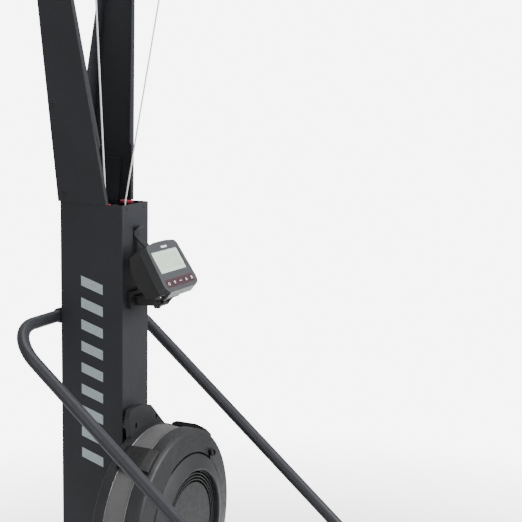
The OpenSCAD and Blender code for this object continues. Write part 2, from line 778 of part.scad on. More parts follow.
// ---------- Monitor ----------
module monitor_bracket() {
    half = 40;
    color(c_trim) column_frame() difference() {
        union() {
            block([-half, -10, -270], [half, 0, -226]);
            slab_x(-14.5, 14.5) {
                polygon([[-9, -240], [-9, -264], [pivot_pos[0], pivot_pos[1] - 8],
                    [pivot_pos[0], pivot_pos[1] + 8]]);
                translate(pivot_pos) circle(8);
            }
        }
        block([-20, -11, -240], [34, -4, -235]);
        rod_x(-20, 20, pivot_pos, pivot_r + run_gap);
    }
}

// Bent strap that the monitor's back rests on
module monitor_arm() {
    bend = [[-17, -55], [-2, -69], [-2, -82], [-41.3, -116.1]];
    color(c_trim) column_frame() slab_x(-13, 13) for (i = [0 : 2]) bar(bend[i], bend[i + 1], 4);
}

module tilt_knob() {
    color(c_trim) column_frame() {
        rod_x(-24, 22, pivot_pos, pivot_r);
        rod_x(-36, -24, pivot_pos, 9);
        for (a = [0 : 60 : 300]) rod_x(-35, -25, pivot_pos + 8 * [cos(a), sin(a)], 3.4);
    }
}

// Plate under the monitor with the two ears of its pivot
module monitor_cradle() {
    color(c_trim) monitor_frame() difference() {
        union() {
            slab_x(-40, 40) polygon([[-76, -51], [-76, -25], [-83, -25], [-87, -51]]);
            for (x = [15, -19]) slab_x(x, x + 4) {
                translate([pivot_y, pivot_z]) circle(8);
                polygon([[pivot_y - 7, pivot_z], [pivot_y + 7, pivot_z], [-78, -44], [-84, -44]]);
            }
        }
        rod_x(-30, 30, [pivot_y, pivot_z], pivot_r + run_gap);
    }
}

module monitor_outline(inset) {
    polygon(rounded([[-88 + inset, -81 + inset, 22 - inset], [88 - inset, -81 + inset, 22 - inset],
        [78 - inset, 50 - inset, 16 - inset], [30, 50 + mon_crown - inset, 60],
        [-30, 50 + mon_crown - inset, 60], [-78 + inset, 50 - inset, 16 - inset]]));
}
module monitor_back_profile(inset) {
    polygon(rounded([[50 - inset, -mon_depth + inset, 0], [46 - inset, -57 + inset, 8],
        [14 - inset / 2, -74 + inset, 6], [-36 + inset / 2, -77 + inset, 8],
        [-66 + inset, -62 + inset, 8], [-76 + inset, -52 + inset, 4],
        [-76 + inset, -mon_depth + inset, 0]]));
}
module monitor_back() {
    half = 77;
    color(c_trim) monitor_frame() difference() {
        slab_x(-half, half) monitor_back_profile(0);
        slab_x(mon_wall - half, half - mon_wall) monitor_back_profile(mon_wall);
    }
}

module monitor_front() {
    color("#3a3c40") monitor_frame() difference() {
        union() {
            translate([0, 0, -mon_depth]) linear_extrude(mon_depth) monitor_outline(0);
            slab_x(-chin_half, chin_half) polygon([[-80, -1.5], [-81.5, -1.5],
                [-81 - chin_drop, 1 - mon_depth], [-81 - chin_drop, -mon_depth], [-80, -mon_depth]]);
        }
        translate([0, 0, -mon_depth - 1]) linear_extrude(mon_depth + 1 - mon_wall) monitor_outline(mon_wall);
        translate([0, 0, -10]) linear_extrude(20) round_rect(-window, window, 2);
        for (i = [0 : button_n - 1]) translate([(i - 2) * button_pitch, button_y, -10])
            linear_extrude(20) round_rect(-button_size / 2 - [0.4, 0.4], button_size / 2 + [0.4, 0.4], 3);
    }
}

module lcd_window() {
    color("#aebcb0") monitor_frame() translate([0, 0, -mon_wall - 2]) linear_extrude(2)
        round_rect(-window - [3, 3], window + [3, 3], 2);
}

module monitor_button(i) {
    color(c_red) monitor_frame() translate([(i - 2) * button_pitch, button_y, 0]) {
        translate([0, 0, -9]) linear_extrude(10) round_rect(-button_size / 2, button_size / 2, 2.6);
        translate([0, 0, -9]) linear_extrude(5) round_rect(-button_size / 2 - [2, 2],
            button_size / 2 + [2, 2], 2.6);
    }
}
module button_1() { monitor_button(0); }
module button_2() { monitor_button(1); }
module button_3() { monitor_button(2); }
module button_4() { monitor_button(3); }
module button_5() { monitor_button(4); }

rail_left();
rail_right();
cross_tubes();
tube_end_caps();
foot_board();
board_mat();
rubber_feet();
axle_bolts();
wheel_left();
wheel_right();
brace_tube();
brace_feet();
brace_clamps();
frame_bolts();
column_shell();
column_foot();
column_screws();
arm_left();
arm_right();
arm_brackets();
arm_screws();
pulley_head_left();
pulley_head_right();
top_pulley_left();
top_pulley_right();
guide_roller_left();
guide_roller_right();
drive_cord_left();
drive_cord_right();
hanging_cord_left();
hanging_cord_right();
handle_left();
handle_right();
grip_left();
grip_right();
cord_spool_left();
cord_spool_right();
return_springs();
bearing_block();
bearings();
flywheel_shaft();
flywheel();
fan_back_shell();
air_screen();
screen_clips();
fan_front_cover();
fan_grille();
damper_ring();
monitor_bracket();
monitor_arm();
tilt_knob();
monitor_cradle();
monitor_back();
monitor_front();
lcd_window();
button_1();
button_2();
button_3();
button_4();
button_5();
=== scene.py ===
import json
import math

import bmesh
import bpy
from mathutils import Matrix, Vector

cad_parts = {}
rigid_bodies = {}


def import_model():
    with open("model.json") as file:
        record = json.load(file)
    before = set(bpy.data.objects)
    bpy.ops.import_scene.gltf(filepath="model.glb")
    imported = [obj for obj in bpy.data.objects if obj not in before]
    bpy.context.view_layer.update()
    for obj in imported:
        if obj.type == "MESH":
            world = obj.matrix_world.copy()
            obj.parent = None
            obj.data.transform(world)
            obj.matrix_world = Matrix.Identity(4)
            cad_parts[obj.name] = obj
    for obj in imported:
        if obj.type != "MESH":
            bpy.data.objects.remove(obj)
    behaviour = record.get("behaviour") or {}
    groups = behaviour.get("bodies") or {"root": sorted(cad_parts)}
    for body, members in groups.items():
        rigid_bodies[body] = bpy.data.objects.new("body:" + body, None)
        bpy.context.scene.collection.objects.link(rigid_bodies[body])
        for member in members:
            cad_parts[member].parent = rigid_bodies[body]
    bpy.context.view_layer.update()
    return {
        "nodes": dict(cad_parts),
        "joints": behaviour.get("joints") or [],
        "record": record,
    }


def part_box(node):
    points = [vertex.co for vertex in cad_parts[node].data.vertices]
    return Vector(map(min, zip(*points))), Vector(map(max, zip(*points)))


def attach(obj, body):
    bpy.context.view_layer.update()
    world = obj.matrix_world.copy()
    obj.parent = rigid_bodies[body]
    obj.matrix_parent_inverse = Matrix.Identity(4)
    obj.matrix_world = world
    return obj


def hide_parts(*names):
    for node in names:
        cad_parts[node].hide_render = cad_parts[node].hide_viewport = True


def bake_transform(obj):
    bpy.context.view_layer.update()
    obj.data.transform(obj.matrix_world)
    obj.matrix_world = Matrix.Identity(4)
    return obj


# Looks of the standing rowing machine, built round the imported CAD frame. Lengths are metres, in the
# row frame: +Z up, -Y the front, where the user stands, and the floor at z = 0.

for leftover in list(bpy.data.objects):
    bpy.data.objects.remove(leftover)
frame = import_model()
nodes = frame["nodes"]
joints = {joint["name"]: joint for joint in frame["joints"]}

MM = 0.001
SIDES = {"left": -1, "right": 1}


# ---------- Places, read from the frame ----------
COLUMN_LOW, COLUMN_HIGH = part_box("column_shell")
COLUMN_FRONT = COLUMN_LOW.y
COLUMN_TOP = COLUMN_HIGH.z
COLUMN_HALF = COLUMN_HIGH.x
FAN_AXIS = Vector(joints["flywheel_spin"]["pos_m"])


def column_point(x, y, z):
    """A point given in millimetres from the middle of the column's top front edge."""
    return Vector((x * MM, COLUMN_FRONT + y * MM, COLUMN_TOP + z * MM))


def fan_point(radius, turn, forward):
    """A point on the fan: millimetres from its axis, degrees clockwise from the top, millimetres forward."""
    angle = math.radians(turn)
    x, z = radius * MM * math.sin(angle), radius * MM * math.cos(angle)
    return Vector((x, COLUMN_FRONT - forward * MM, FAN_AXIS.z + z))


PRESS = Vector(joints["button_3_press"]["axis"])
MONITOR_OUT = -PRESS
MONITOR_RIGHT = Vector((1, 0, 0))
MONITOR_UP = MONITOR_OUT.cross(MONITOR_RIGHT)
MONITOR_MIDDLE = column_point(0, -100.5, -139.2)


def monitor_point(x, y, out):
    """A point on the monitor, in millimetres from the middle of its window, out of its face."""
    return MONITOR_MIDDLE + MM * (x * MONITOR_RIGHT + y * MONITOR_UP + out * MONITOR_OUT)


# ---------- Camera ----------
def make_camera(place, yaw, pitch, roll, lens):
    yaw, pitch, roll = (math.radians(angle) for angle in (yaw, pitch, roll))
    ahead = Vector((math.sin(yaw) * math.cos(pitch), math.cos(yaw) * math.cos(pitch), -math.sin(pitch)))
    level = Vector((math.cos(yaw), -math.sin(yaw), 0))
    upright = level.cross(ahead)
    right = math.cos(roll) * level + math.sin(roll) * upright
    up = math.cos(roll) * upright - math.sin(roll) * level
    data = bpy.data.cameras.new("camera")
    data.lens = lens
    data.sensor_width = 36
    camera = bpy.data.objects.new("camera", data)
    bpy.context.scene.collection.objects.link(camera)
    turn = Matrix((right, up, -ahead)).transposed()
    camera.matrix_world = Matrix.Translation(place) @ turn.to_4x4()
    bpy.context.scene.camera = camera


make_camera(place=(-2.6474, -1.1926, 1.7108), yaw=65.282, pitch=9.182, roll=1.034, lens=82.26)


# ---------- Materials ----------
class Finish:
    """A material's node tree, with short calls for the patterns that the finishes share."""

    def __init__(self, name):
        self.material = bpy.data.materials.new(name)
        self.material.use_nodes = True
        self.tree = self.material.node_tree
        self.shader = self.tree.nodes["Principled BSDF"]
        self.place = self.add("ShaderNodeTexCoord").outputs["Object"]
        self.normal = None

    def add(self, kind, inputs=None, **settings):
        node = self.tree.nodes.new(kind)
        for key, value in settings.items():
            setattr(node, key, value)
        for key, value in (inputs or {}).items():
            self.put(node.inputs[key], value)
        return node

    def put(self, socket, value):
        if isinstance(value, bpy.types.NodeSocket):
            self.tree.links.new(value, socket)
        else:
            socket.default_value = value

    def set(self, **values):
        for key, value in values.items():
            self.put(self.shader.inputs[key.replace("_", " ")], value)

    def math(self, operation, a, b=0.0):
        return self.add("ShaderNodeMath", {0: a, 1: b}, operation=operation).outputs[0]

    def stretched(self, stretch):
        return self.add("ShaderNodeMapping", {"Vector": self.place, "Scale": stretch}).outputs[0]

    def noise(self, scale, detail=2.0, stretch=(1, 1, 1)):
        inputs = {"Vector": self.stretched(stretch), "Scale": scale, "Detail": detail}
        return self.add("ShaderNodeTexNoise", inputs).outputs["Fac"]

    def cells(self, scale):
        inputs = {"Vector": self.place, "Scale": scale}
        return self.add("ShaderNodeTexVoronoi", inputs).outputs["Distance"]

    def span(self, value, low, high, from_low=0.3, from_high=0.7):
        inputs = {"Value": value, "From Min": from_low, "From Max": from_high, "To Min": low, "To Max": high}
        return self.add("ShaderNodeMapRange", inputs).outputs["Result"]

    def mix(self, share, a, b):
        node = self.add("ShaderNodeMix", data_type="RGBA")
        self.put(node.inputs["Factor"], share)
        self.put(node.inputs["A"], a)
        self.put(node.inputs["B"], b)
        return node.outputs["Result"]

    def bump(self, height, depth_mm, strength=1.0):
        inputs = {"Height": height, "Distance": depth_mm * MM, "Strength": strength}
        if self.normal is not None:
            inputs["Normal"] = self.normal
        self.normal = self.add("ShaderNodeBump", inputs).outputs["Normal"]
        self.set(Normal=self.normal)

    def worn_edges(self, radius_mm):
        """1 where the surface turns an edge, with ragged borders, and 0 on flat ground; the finishes lighten
        edges with it as a painted highlight.
        """
        soft = self.add("ShaderNodeBevel", {"Radius": radius_mm * MM}, samples=4).outputs[0]
        true = self.add("ShaderNodeNewGeometry").outputs["Normal"]
        dot = self.add("ShaderNodeVectorMath", {0: soft, 1: true}, operation="DOT_PRODUCT").outputs["Value"]
        edge = self.span(dot, 1.0, 0.0, 0.86, 0.99)
        return self.math("MULTIPLY", edge, self.span(self.noise(160, 3), 0.0, 1.0, 0.42, 0.62))


def shade(colour, amount):
    """The colour made lighter or darker, as red, green, blue and alpha."""
    return (*(part * amount for part in colour[:3]), 1)


def powder_coat(name, colour, rough):
    f = Finish(name)
    cloud = f.span(f.noise(7, 3), 0.0, 1.0)
    body = f.mix(cloud, shade(colour, 0.9), shade(colour, 1.12))
    fleck = f.span(f.noise(1500, 1), 0.0, 0.5, 0.58, 0.72)
    body = f.mix(fleck, body, shade(colour, 1.5))
    # Painted highlight along the edges: they are mixed towards a much lighter tone.
    edge_highlight = f.worn_edges(0.9)
    f.set(Base_Color=f.mix(edge_highlight, body, shade(colour, 2.6)))
    f.set(Roughness=f.span(f.noise(35, 4), rough - 0.05, rough + 0.07))
    f.shader.inputs["Specular IOR Level"].default_value = 0.3
    f.bump(f.noise(900, 2), 0.05, 0.5)
    return f.material


def moulded_plastic(name, colour, rough, grain_mm=0.05, side=None):
    """Grained plastic; with a side tone, faces turned away from the monitor's front take that tone as
    painted shade.
    """
    f = Finish(name)
    cloud = f.span(f.noise(12, 3), 0.0, 1.0)
    body = f.mix(cloud, shade(colour, 0.92), shade(colour, 1.1))
    if side:
        # Painted shade: faces turned away from the monitor's front are darkened towards the side tone.
        normal = f.add("ShaderNodeNewGeometry").outputs["Normal"]
        side_shade_facing = f.add("ShaderNodeVectorMath", {0: normal, 1: MONITOR_OUT}, operation="DOT_PRODUCT")
        body = f.mix(f.span(side_shade_facing.outputs["Value"], 0.0, 1.0, 0.35, 0.8), shade(side, 1), body)
    # Painted highlight along the edges: they are mixed towards a lighter tone.
    f.set(Base_Color=f.mix(f.worn_edges(0.6), body, shade(colour, 1.7)))
    f.set(Roughness=f.span(f.noise(60, 4), rough - 0.06, rough + 0.08))
    f.shader.inputs["Specular IOR Level"].default_value = 0.4
    f.bump(f.cells(1300), grain_mm, 0.45)
    return f.material


def rubber(name, colour, grain=700):
    f = Finish(name)
    dust = f.span(f.noise(22, 5), 0.0, 0.6, 0.45, 0.75)
    f.set(Base_Color=f.mix(dust, shade(colour, 1), shade(colour, 1.9)))
    f.set(Roughness=f.span(f.noise(80, 3), 0.72, 0.9))
    f.bump(f.noise(grain, 3), 0.12, 0.6)
    return f.material


def brushed_metal(name, colour, rough, stretch=(1, 1, 30)):
    f = Finish(name)
    lines = f.noise(500, 3, stretch)
    f.set(Base_Color=f.mix(f.span(lines, 0.0, 1.0), shade(colour, 0.8), shade(colour, 1.1)))
    f.shader.inputs["Metallic"].default_value = 1.0
    f.set(Roughness=f.span(f.noise(40, 4), rough - 0.06, rough + 0.1))
    f.bump(lines, 0.02, 0.4)
    return f.material


def fan_polar(f):
    """Distance from the fan's axis, the turn round it and the place along it, for patterns on it."""
    parts = f.add("ShaderNodeSeparateXYZ", {0: f.place})
    x = parts.outputs["X"]
    z = f.math("SUBTRACT", parts.outputs["Z"], FAN_AXIS.z)
    square = f.math("ADD", f.math("MULTIPLY", x, x), f.math("MULTIPLY", z, z))
    return f.math("SQRT", square), f.math("ARCTAN2", x, z), parts.outputs["Y"]


def turned_metal(name, colour, rough):
    f = Finish(name)
    radius, _, _ = fan_polar(f)
    rings = f.math("SINE", f.math("MULTIPLY", radius, 9000.0))
    f.set(Base_Color=f.mix(f.span(f.noise(15, 4), 0.0, 1.0), shade(colour, 0.85), shade(colour, 1.08)))
    f.shader.inputs["Metallic"].default_value = 1.0
    f.set(Roughness=f.span(f.noise(50, 3), rough - 0.05, rough + 0.08))
    f.bump(rings, 0.01, 0.5)
    return f.material


def perforated_screen(name, colour):
    """Satin sheet with rows of fine holes round the fan, each row half a pitch on from the last."""
    f = Finish(name)
    _, angle, along = fan_polar(f)
    pitch = 2.4 * MM
    across = f.math("MULTIPLY", angle, 0.253 / pitch)
    row = f.math("DIVIDE", along, pitch * 0.87)
    shift = f.math("MULTIPLY", f.math("MODULO", f.math("FLOOR", row), 2.0), 0.5)
    u = f.math("SUBTRACT", f.math("FRACT", f.math("ADD", across, shift)), 0.5)
    v = f.math("SUBTRACT", f.math("FRACT", row), 0.5)
    distance = f.math("SQRT", f.math("ADD", f.math("MULTIPLY", u, u), f.math("MULTIPLY", v, v)))
    metal = f.span(distance, 0.0, 1.0, 0.27, 0.34)
    tone = f.mix(f.span(f.noise(9, 3), 0.0, 1.0), shade(colour, 0.88), shade(colour, 1.1))
    f.set(Base_Color=f.mix(metal, shade(colour, 0.35), tone))
    f.set(Metallic=f.math("MULTIPLY", metal, 0.55))
    f.set(Roughness=f.span(f.noise(45, 3), 0.42, 0.55))
    f.bump(metal, 0.25, 0.6)
    return f.material


def braided_cord(name, colour):
    f = Finish(name)
    weave = f.cells(900)
    f.set(Base_Color=f.mix(f.span(weave, 0.0, 1.0, 0.1, 0.7), shade(colour, 1), shade(colour, 0.72)))
    f.set(Roughness=f.span(f.noise(300, 2), 0.7, 0.85))
    f.shader.inputs["Sheen Weight"].default_value = 0.3
    f.bump(weave, 0.15, 0.6)
    return f.material


def glossy_plastic(name, colour, rough=0.22, coat=0.3):
    f = Finish(name)
    f.set(Base_Color=f.mix(f.span(f.noise(120, 3), 0.0, 1.0), shade(colour, 0.9), shade(colour, 1.1)))
    f.set(Roughness=f.span(f.noise(200, 3), rough - 0.04, rough + 0.08))
    f.shader.inputs["Coat Weight"].default_value = coat
    f.bump(f.noise(600, 2), 0.02, 0.3)
    return f.material


CHARCOAL = (0.021, 0.0225, 0.0265)
DARK = (0.019, 0.0195, 0.021)
HOUSING = (0.05, 0.053, 0.058)

finishes = {
    "frame_paint": powder_coat("charcoal_coat", CHARCOAL, 0.5),
    "brace_paint": powder_coat("satin_tube_coat", (0.03, 0.0315, 0.037), 0.36),
    "dark_plastic": moulded_plastic("fan_plastic", (0.0175, 0.0183, 0.0203), 0.46),
    "board": moulded_plastic("board_plastic", (0.04, 0.04, 0.042), 0.6, 0.15),
    "mat_rubber": rubber("mat_rubber", (0.02, 0.02, 0.021)),
    "foot_rubber": rubber("foot_rubber", (0.016, 0.016, 0.016)),
    "wheel_rubber": rubber("wheel_rubber", (0.018, 0.018, 0.018)),
    "zinc_steel": brushed_metal("zinc_steel", (0.5, 0.51, 0.53), 0.34),
    "black_steel": powder_coat("black_steel", DARK, 0.42),
    "machined_steel": turned_metal("machined_steel", (0.5, 0.51, 0.53), 0.3),
    "cast_alloy": turned_metal("cast_alloy", (0.55, 0.56, 0.58), 0.4),
    "screen_metal": perforated_screen("screen_metal", (0.15, 0.147, 0.15)),
    "pulley_plastic": glossy_plastic("pulley_plastic", DARK),
    "roller_red": glossy_plastic("roller_red", (0.38, 0.025, 0.06), 0.38, 0.1),
    "cord": braided_cord("braided_cord", (0.93, 0.93, 0.92)),
    "handle_plastic": moulded_plastic("handle_plastic", DARK, 0.45),
    "grip_rubber": rubber("grip_rubber", (0.013, 0.013, 0.014), 1500),
    "monitor_plastic": moulded_plastic("monitor_plastic", HOUSING, 0.42),
    "lcd": glossy_plastic("lcd_glass", (0.64, 0.74, 0.65), 0.16, 0.2),
    "button_red": glossy_plastic("button_red", (0.052, 0.021, 0.029), 0.4, 0.05),
}
# The monitor front's sides are painted darker with the side tone: painted shade.
HOUSING_FRONT_SHADED_SIDES = moulded_plastic("monitor_front_plastic_side_shade", HOUSING, 0.42, side=(0.026, 0.027, 0.029))
HOUSING_BACK = moulded_plastic("monitor_back_plastic", (0.012, 0.012, 0.013), 0.55)
BLACK_PLASTIC = moulded_plastic("black_plastic", (0.008, 0.008, 0.009), 0.5)
GRILLE_PLASTIC = moulded_plastic("grille_plastic", (0.0115, 0.012, 0.013), 0.48)
LCD_FIELD = glossy_plastic("lcd_field", (0.55, 0.66, 0.54), 0.2, 0.2)
PALE_PRINT = glossy_plastic("pale_print", (0.36, 0.43, 0.44), 0.45, 0.0)
WHITE_PRINT = glossy_plastic("white_print", (0.75, 0.75, 0.75), 0.4, 0.0)
DARK_PRINT = glossy_plastic("dark_print", (0.004, 0.004, 0.0045), 0.6, 0.0)
LIGHT_PLASTIC = moulded_plastic("light_plastic", (0.24, 0.245, 0.25), 0.5)
HEM_METAL = brushed_metal("hem_metal", (0.6, 0.6, 0.61), 0.3)


# ---------- Edges and finishes of the CAD nodes ----------
SHARP_FOLD = math.radians(35)
FLAT_WITHIN = math.radians(0.4)
MERGE_DISTANCE = 0.01 * MM


def clean_shading_group():
    """Joins the faces of an imported mesh and shades it smooth up to a sharp fold."""
    group = bpy.data.node_groups.new("clean_shading", "GeometryNodeTree")
    group.interface.new_socket("Geometry", in_out="INPUT", socket_type="NodeSocketGeometry")
    group.interface.new_socket("Geometry", in_out="OUTPUT", socket_type="NodeSocketGeometry")
    start = group.nodes.new("NodeGroupInput")
    end = group.nodes.new("NodeGroupOutput")
    merge = group.nodes.new("GeometryNodeMergeByDistance")
    merge.inputs["Distance"].default_value = MERGE_DISTANCE
    forget = group.nodes.new("GeometryNodeRemoveAttribute")
    forget.inputs["Name"].default_value = "custom_normal"
    all_faces = group.nodes.new("GeometryNodeSetShadeSmooth")
    all_edges = group.nodes.new("GeometryNodeSetShadeSmooth")
    all_edges.domain = "EDGE"
    folds = group.nodes.new("GeometryNodeSetShadeSmooth")
    folds.domain = "EDGE"
    folds.inputs["Shade Smooth"].default_value = False
    angle = group.nodes.new("GeometryNodeInputMeshEdgeAngle")
    sharp = group.nodes.new("FunctionNodeCompare")
    sharp.operation = "GREATER_THAN"
    sharp.inputs["B"].default_value = SHARP_FOLD
    group.links.new(angle.outputs["Unsigned Angle"], sharp.inputs["A"])
    group.links.new(sharp.outputs["Result"], folds.inputs["Selection"])
    chain = [start, merge, forget, all_faces, all_edges, folds, end]
    for before, after in zip(chain, chain[1:]):
        group.links.new(before.outputs["Geometry"], after.inputs["Geometry"])
    return group


CLEAN = clean_shading_group()
PLAIN_EDGE = 0.4
EDGE_WIDTH = {"column_shell": 1.2, "arm_left": 0.8, "arm_right": 0.8, "monitor_front": 1.4,
              "foot_board": 2.0, "brace_feet": 1.2, "column_foot": 1.2, "tube_end_caps": 1.2,
              "monitor_bracket": 0.9, "fan_grille": 0.0}


def soften(piece, width_mm):
    """Smooth shading and a bevel of at most this width, less where edges crowd; 0 leaves it out."""
    clean = piece.modifiers.new("clean", "NODES")
    clean.node_group = CLEAN
    if not width_mm:
        return
    flat = piece.modifiers.new("flat", "DECIMATE")
    flat.decimate_type = "DISSOLVE"
    flat.angle_limit = FLAT_WITHIN
    flat.delimit = {"NORMAL"}
    bevel = piece.modifiers.new("bevel", "BEVEL")
    bevel.width = width_mm * MM
    bevel.segments = 2
    bevel.limit_method = "ANGLE"
    bevel.angle_limit = SHARP_FOLD
    bevel.harden_normals = True


for subpart in frame["record"]["subparts"]:
    part = nodes[subpart["node"]]
    part.data.materials.clear()
    part.data.materials.append(finishes[subpart["material_slot"]])
    soften(part, EDGE_WIDTH.get(subpart["node"], PLAIN_EDGE))
OWN_FINISH = {"monitor_back": HOUSING_BACK, "monitor_front": HOUSING_FRONT_SHADED_SIDES, "fan_grille": GRILLE_PLASTIC,
              "damper_ring": BLACK_PLASTIC, "screen_clips": BLACK_PLASTIC}
for node_name, finish in OWN_FINISH.items():
    nodes[node_name].data.materials[0] = finish


# ---------- Building pieces ----------
def make_piece(name, points, faces, material, body, slot=None, smooth=False):
    mesh = bpy.data.meshes.new(name)
    mesh.from_pydata([tuple(point) for point in points], [], faces)
    mesh.materials.append(material)
    work = bmesh.new()
    work.from_mesh(mesh)
    bmesh.ops.recalc_face_normals(work, faces=work.faces)
    work.to_mesh(mesh)
    work.free()
    if smooth:
        mesh.shade_smooth()
    piece = bpy.data.objects.new(name, mesh)
    bpy.context.scene.collection.objects.link(piece)
    if body:
        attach(piece, body)
    return piece


def prisms(outlines, place, low, high):
    """Points and faces of flat shapes: place(u, v, h) puts an outline point at height low, then high."""
    points, faces = [], []
    for outline in outlines:
        first, count = len(points), len(outline)
        points += [place(u, v, h) for h in (low, high) for u, v in outline]
        faces.append([first + i for i in range(count)])
        faces.append([first + count + i for i in range(count)])
        faces += [[first + i, first + (i + 1) % count, first + count + (i + 1) % count, first + count + i]
                  for i in range(count)]
    return points, faces


def disc(u, v, radius, count=20):
    turns = [2 * math.pi * i / count for i in range(count)]
    return [(u + radius * math.cos(t), v + radius * math.sin(t)) for t in turns]


def rectangle(u0, v0, u1, v1):
    return [(u0, v0), (u1, v0), (u1, v1), (u0, v1)]


def revolved(name, profile, place, material, body, slot, steps=64):
    """A closed profile of [radius, height] turned round an axis; place(x, y, h) sets its points."""
    points = []
    for i in range(steps):
        turn = 2 * math.pi * i / steps
        points += [place(r * math.cos(turn), r * math.sin(turn), h) for r, h in profile]
    count = len(profile)
    faces = [[i * count + k, (i + 1) % steps * count + k, (i + 1) % steps * count + (k + 1) % count,
              i * count + (k + 1) % count] for i in range(steps) for k in range(count)]
    return make_piece(name, points, faces, material, body, slot, smooth=True)


# ---------- Column stripes: plain slanted bars ----------
STRIPE_TOP, STRIPE_END = -190, -712
STRIPE_BACK, STRIPE_FRONT = 60, 126
STRIPE_HEIGHT, STRIPE_PITCH, STRIPE_SLANT = 26, 58, 20


def stripe_outlines():
    outlines = []
    top = STRIPE_TOP
    while top - STRIPE_HEIGHT - STRIPE_SLANT > STRIPE_END:
        low = top - STRIPE_HEIGHT
        outlines.append([(STRIPE_BACK, top - STRIPE_SLANT), (STRIPE_BACK, low - STRIPE_SLANT),
                         (STRIPE_FRONT, low), (STRIPE_FRONT, top)])
        top -= STRIPE_PITCH
    return outlines


for side, sign in SIDES.items():
    def on_side(u, v, h, sign=sign):
        return column_point(sign * (COLUMN_HALF / MM + h), u, v)
    make_piece(f"column_stripes_{side}", *prisms(stripe_outlines(), on_side, 0, 0.15), PALE_PRINT, "frame")


# ---------- Rim seal: closes the narrow slit between the column's top and the arms ----------
SEAL_WIDTH, SEAL_HEIGHT = 2.3, 1.5
SEAL_FRONT, SEAL_BACK = 51.5, 189.5
RIM = COLUMN_HALF / MM
seal_outlines = [rectangle(-RIM, SEAL_FRONT, SEAL_WIDTH - RIM, SEAL_BACK),
                 rectangle(RIM - SEAL_WIDTH, SEAL_FRONT, RIM, SEAL_BACK),
                 rectangle(SEAL_WIDTH - RIM, SEAL_BACK - SEAL_WIDTH, RIM - SEAL_WIDTH, SEAL_BACK)]
make_piece("rim_seal", *prisms(seal_outlines, column_point, 0, SEAL_HEIGHT), finishes["foot_rubber"],
           "frame")


# ---------- Cords ----------
# The route's rule is the CAD's: up from the spool, past the guide roller and over the top pulley.
CORD_RADIUS = 2.2
CORD_GAP = 0.3
SPOOL_RADIUS, SPOOL_Y = 32, {"left": 41, "right": 67}
ROLLER_X, ROLLER_Z, ROLLER_RADIUS = 56.2, -5, 6
GUIDE_Y, GUIDE_SLOPE = 60.9, 0.075
PULLEY = (201.1, -23.7, 762)
PULLEY_CORD_RADIUS = 27
ARM_TILT = math.radians(9.26)
STRANDS, TWIST_PITCH, STRAND_DEPTH = 8, 16.0, 0.09


def cord_route(side):
    s = SIDES[side]
    wrap = ROLLER_RADIUS + CORD_RADIUS + CORD_GAP
    route = [Vector((SPOOL_RADIUS + CORD_RADIUS + CORD_GAP, SPOOL_Y[side],
                     (FAN_AXIS.z - COLUMN_TOP) / MM))]
    for degrees in (0, 5, 11):
        a = math.radians(degrees)
        route.append(Vector((s * (ROLLER_X - wrap * math.cos(a)), GUIDE_Y - GUIDE_SLOPE * wrap * math.sin(a),
                             ROLLER_Z + wrap * math.sin(a))))
    up = Vector((s * math.sin(ARM_TILT), 0, math.cos(ARM_TILT)))
    middle = Vector((s * PULLEY[0], *PULLEY[1:]))
    first, steps = 4, 44
    for i in range(steps + 1):
        a = math.radians(first + (180 - first) * i / steps)
        route.append(middle + PULLEY_CORD_RADIUS * (math.sin(a) * up + math.cos(a) * Vector((0, 1, 0))))
    return route


def sampled(route, step):
    """The route with extra points, so that no two neighbours are further apart than step."""
    points = [route[0]]
    for a, b in zip(route, route[1:]):
        count = max(1, math.ceil((b - a).length / step))
        points += [a.lerp(b, (i + 1) / count) for i in range(count)]
    return points


def cord_tube(name, route, body, step=2.4, around=16):
    """A twisted tube: its strands stand out a little and wind round it as it runs."""
    path = sampled(route, step)
    across = Vector((1, 0, 0))
    points, run = [], 0.0
    for i, middle in enumerate(path):
        ahead = (path[min(i + 1, len(path) - 1)] - path[max(i - 1, 0)]).normalized()
        across = (across - ahead * across.dot(ahead)).normalized()
        other = ahead.cross(across)
        run += (middle - path[i - 1]).length if i else 0.0
        for k in range(around):
            turn = 2 * math.pi * k / around
            winding = STRANDS * turn - 2 * math.pi * run / TWIST_PITCH
            radius = CORD_RADIUS - STRAND_DEPTH * (1 + math.cos(winding))
            outward = math.cos(turn) * across + math.sin(turn) * other
            points.append(column_point(*(middle + radius * outward)))
    rings = len(path)
    faces = [[i * around + k, i * around + (k + 1) % around, (i + 1) * around + (k + 1) % around,
              (i + 1) * around + k] for i in range(rings - 1) for k in range(around)]
    faces.append(list(range(around)))
    faces.append([(rings - 1) * around + k for k in range(around)])
    return make_piece(name, points, faces, finishes["cord"], body, "cord", smooth=True)


for side in SIDES:
    drive = cord_tube(f"braided_drive_cord_{side}", cord_route(side), "frame")
    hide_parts(f"drive_cord_{side}")
    low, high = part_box(f"hanging_cord_{side}")
    middle = (low + high) / 2
    ends = [(Vector((middle.x, middle.y - COLUMN_FRONT, z - COLUMN_TOP))) / MM for z in (high.z, low.z)]
    hanging = cord_tube(f"braided_hanging_cord_{side}", ends, None, step=0.6)
    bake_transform(hanging)
    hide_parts(f"hanging_cord_{side}")


# ---------- Grips: ribbed rubber sleeves ----------
GRIP_RIBS = 18
RIB_DEPTH = 0.9
GRIP_BORE = 11.02
GRIP_WAIST = 1.4
COLLAR_SHARE = 0.06
COLLAR_BEVEL = (0.6, 0.8)


